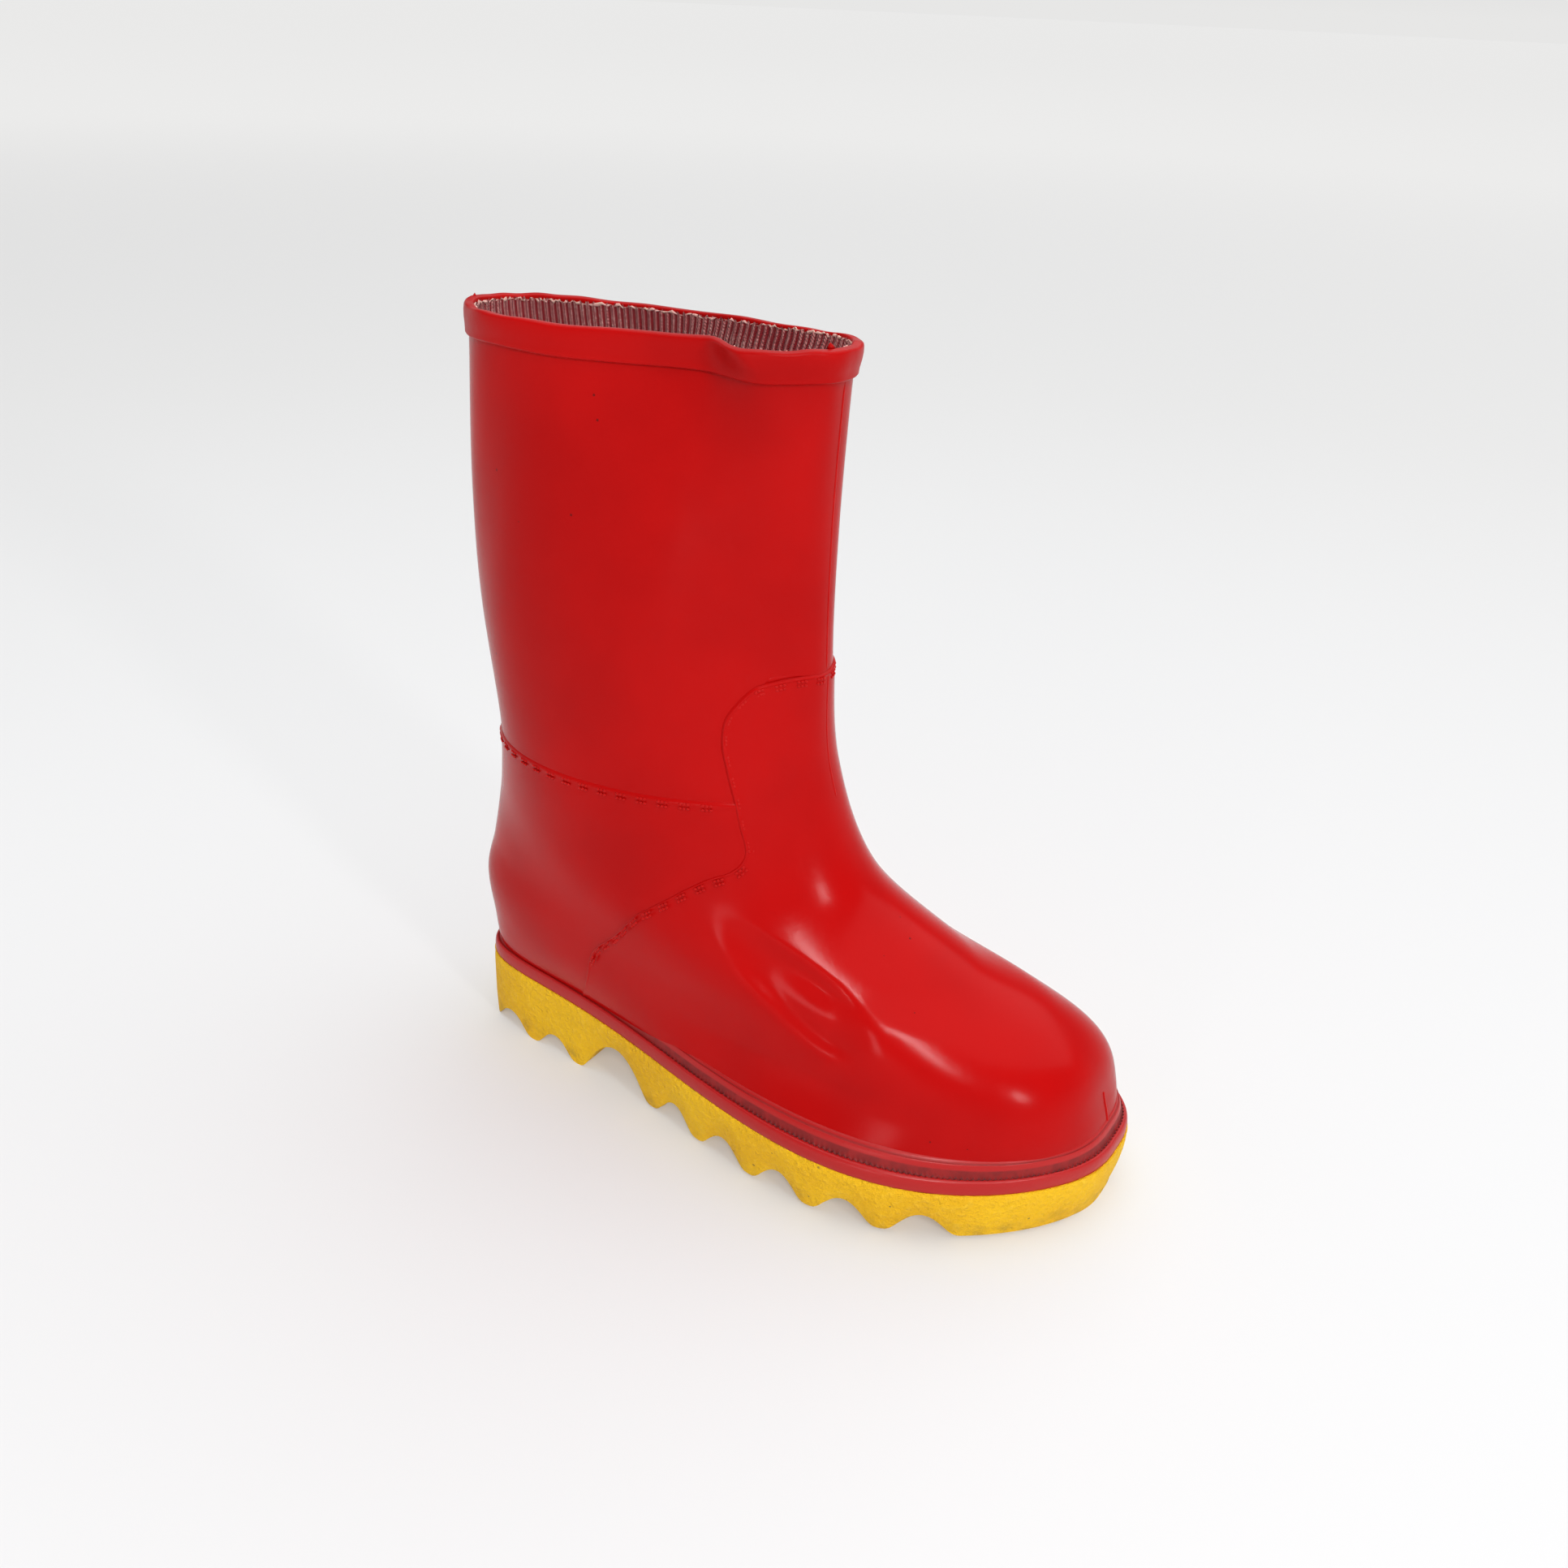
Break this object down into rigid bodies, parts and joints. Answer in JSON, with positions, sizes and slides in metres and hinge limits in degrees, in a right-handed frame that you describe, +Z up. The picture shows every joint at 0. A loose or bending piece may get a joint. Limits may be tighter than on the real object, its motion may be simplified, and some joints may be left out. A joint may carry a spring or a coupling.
{
  "type": "rain boot",
  "caption": "Child's ankle-high to mid-calf rain boot: glossy red rubber upper, knitted lining, yellow cleated outsole, loose footbed.",
  "frame": {"origin": "on the ground, under the middle of the boot's box", "axes": "+X towards the toe, +Y towards the inner side of the foot, +Z up"},
  "size_m": [0.2028, 0.087, 0.2231],
  "materials": {
    "sole_yellow": "matt moulded, fine grain",
    "welt_red": "satin moulded",
    "rubber_red": "high gloss",
    "knit": "ribbed knit",
    "footbed_cloth": "woven cloth",
    "foam": "matt foam",
    "board": "pressed fibre board"
  },
  "bodies": {
    "boot": {"outsole": "sole_yellow", "heel_core": "foam", "welt_strip": "welt_red", "insole_board": "board", "lining": "knit", "vamp": "rubber_red", "leg": "rubber_red", "quarter_outer": "rubber_red", "quarter_inner": "rubber_red", "backstay": "rubber_red", "collar_band": "rubber_red"},
    "footbed": {"footbed_foam": "foam", "footbed_cloth": "footbed_cloth"}
  },
  "joints": [
    {"name": "footbed_lift", "type": "hinge", "parent": "boot", "child": "footbed", "pos_m": [0.09, 0, 0.019], "axis": [0, 1, 0], "range_deg": [0, 10]}
  ]
}
